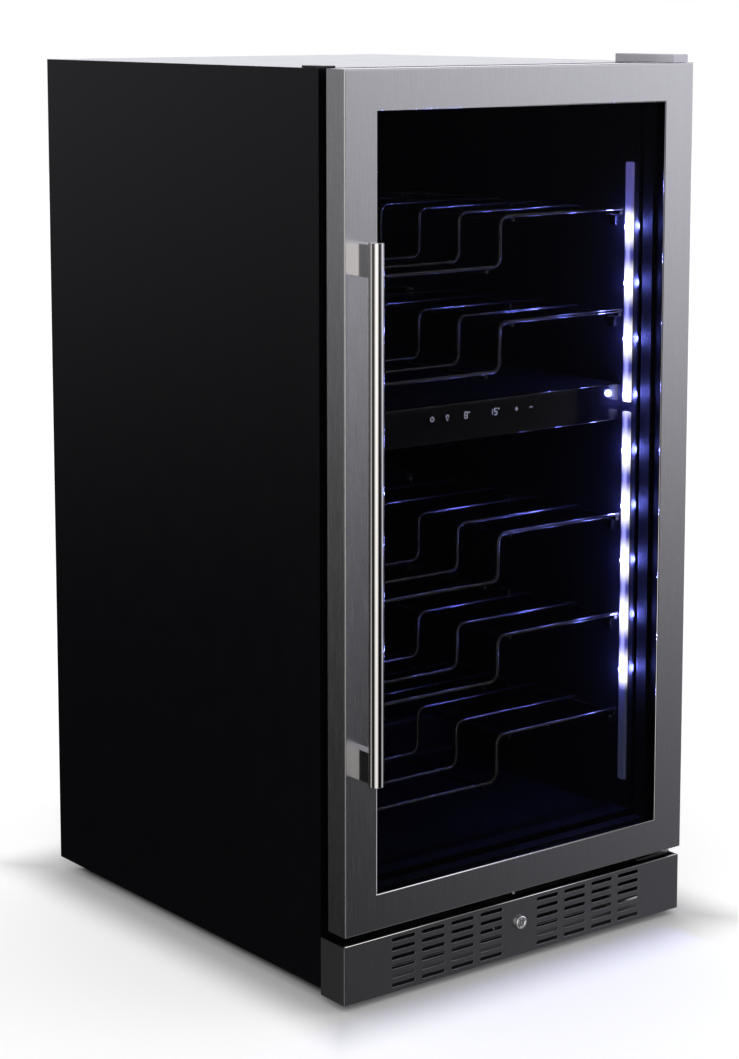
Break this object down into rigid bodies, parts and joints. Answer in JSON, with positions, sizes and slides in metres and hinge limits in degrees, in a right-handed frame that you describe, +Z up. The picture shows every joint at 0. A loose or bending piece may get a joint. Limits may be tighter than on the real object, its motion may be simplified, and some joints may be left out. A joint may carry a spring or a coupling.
{
  "type": "wine cooler",
  "caption": "Upright wine cooler: black cabinet, steel-framed glass door with tube handle, stepped wire shelves, light strip and slotted kick plate.",
  "frame": {"origin": "middle of the footprint, handle included, on the floor", "axes": "+Z up, front and door towards -Y, hinges on the +X side"},
  "size_m": [0.595, 0.756, 1.215],
  "materials": {
    "cabinet_black": "semi-gloss black enamel",
    "rear_sheet": "satin dark grey coated sheet",
    "galvanised": "galvanised sheet",
    "liner_black": "gloss black moulded",
    "cover_black": "satin black moulded",
    "foam": "rigid insulation foam",
    "door_steel": "vertical brushed",
    "kick_steel": "dark brushed",
    "handle_steel": "fine polished",
    "door_black": "satin black",
    "gasket": "soft satin",
    "glass_tint": "tinted clear",
    "spacer": "black anodised",
    "shelf_wire": "gloss black powder coat",
    "clip_metal": "bright",
    "panel_gloss": "piano black",
    "lens_gloss": "smoked gloss",
    "light_strip": "translucent white",
    "lamp": "lit",
    "hinge_cover": "satin silver",
    "nylon": "natural nylon",
    "zinc": "zinc plated",
    "lock_chrome": "polished",
    "bracket_black": "satin black",
    "fan_black": "moulded black",
    "motor": "satin",
    "compressor": "gloss black enamel",
    "rubber_black": "moulded rubber",
    "foot_black": "moulded black",
    "coil_fin": "mill finish",
    "copper": "drawn copper",
    "tray_grey": "moulded grey",
    "inlet_black": "moulded black"
  },
  "bodies": {
    "root": {"side_panel_left": "cabinet_black", "side_panel_right": "cabinet_black", "top_panel": "cabinet_black", "rear_panel": "rear_sheet", "front_face_frame": "cabinet_black", "base_pan": "galvanised", "machine_deck": "galvanised", "inner_liner": "liner_black", "insulation_foam": "foam", "zone_divider": "liner_black", "control_panel": "panel_gloss", "control_lens": "lens_gloss", "light_strip": "light_strip", "lamp_lenses": "lamp", "shelf_clips": "clip_metal", "upper_cooler_cover": "cover_black", "lower_cooler_cover": "cover_black", "evaporators": "coil_fin", "fan_motors": "motor", "condenser_fan_shroud": "galvanised", "condenser": "coil_fin", "compressor": "compressor", "compressor_grommets": "rubber_black", "drip_tray": "tray_grey", "refrigerant_pipes": "copper", "rear_grille": "rear_sheet", "mains_inlet": "inlet_black", "cabinet_screws": "zinc", "bottom_hinge_bracket": "bracket_black", "top_hinge_bracket": "bracket_black", "hinge_pins": "zinc", "hinge_washer": "nylon", "hinge_cover": "hinge_cover", "hinge_blank": "bracket_black", "kick_plate": "kick_steel", "lock_housing": "lock_chrome", "rear_feet": "foot_black"},
    "door": {"door_frame": "door_steel", "door_inner_frame": "door_black", "outer_glass": "glass_tint", "inner_glass": "glass_tint", "glass_spacer": "spacer", "door_gasket": "gasket", "handle_bar": "handle_steel", "handle_standoffs": "handle_steel", "handle_screws": "zinc", "hinge_bushes": "nylon", "lock_strike": "zinc"},
    "lock": {"lock_plug": "lock_chrome", "lock_cam": "zinc"},
    "upper_fan": {"upper_fan": "fan_black"},
    "lower_fan": {"lower_fan": "fan_black"},
    "condenser_fan": {"condenser_fan": "fan_black"},
    "foot_left": {"foot_left": "foot_black"},
    "foot_right": {"foot_right": "foot_black"},
    "shelf_1": {"shelf_1": "shelf_wire"},
    "shelf_2": {"shelf_2": "shelf_wire"},
    "shelf_3": {"shelf_3": "shelf_wire"},
    "shelf_4": {"shelf_4": "shelf_wire"},
    "shelf_5": {"shelf_5": "shelf_wire"}
  },
  "joints": [
    {"name": "door_hinge", "type": "hinge", "parent": "root", "child": "door", "pos_m": [0.28, -0.304, 0.65], "axis": [0, 0, 1], "range_deg": [0, 110]},
    {"name": "lock_turn", "type": "hinge", "parent": "root", "child": "lock", "pos_m": [0, -0.32, 0.055], "axis": [0, 1, 0], "range_deg": [0, 90]},
    {"name": "upper_fan_spin", "type": "hinge", "parent": "root", "child": "upper_fan", "pos_m": [0, 0.306, 1.05], "axis": [0, 1, 0], "continuous": true},
    {"name": "lower_fan_spin", "type": "hinge", "parent": "root", "child": "lower_fan", "pos_m": [0, 0.306, 0.61], "axis": [0, 1, 0], "continuous": true},
    {"name": "condenser_fan_spin", "type": "hinge", "parent": "root", "child": "condenser_fan", "pos_m": [0.018, 0.262, 0.094], "axis": [1, 0, 0], "continuous": true},
    {"name": "foot_left_turn", "type": "hinge", "parent": "root", "child": "foot_left", "pos_m": [-0.255, -0.235, 0.02], "axis": [0, 0, 1], "continuous": true},
    {"name": "foot_right_turn", "type": "hinge", "parent": "root", "child": "foot_right", "pos_m": [0.255, -0.235, 0.02], "axis": [0, 0, 1], "continuous": true},
    {"name": "shelf_1_slide", "type": "slide", "parent": "root", "child": "shelf_1", "axis": [0, -1, 0], "range_m": [0, 0.02]},
    {"name": "shelf_2_slide", "type": "slide", "parent": "root", "child": "shelf_2", "axis": [0, -1, 0], "range_m": [0, 0.02]},
    {"name": "shelf_3_slide", "type": "slide", "parent": "root", "child": "shelf_3", "axis": [0, -1, 0], "range_m": [0, 0.02]},
    {"name": "shelf_4_slide", "type": "slide", "parent": "root", "child": "shelf_4", "axis": [0, -1, 0], "range_m": [0, 0.02]},
    {"name": "shelf_5_slide", "type": "slide", "parent": "root", "child": "shelf_5", "axis": [0, -1, 0], "range_m": [0, 0.02]}
  ]
}
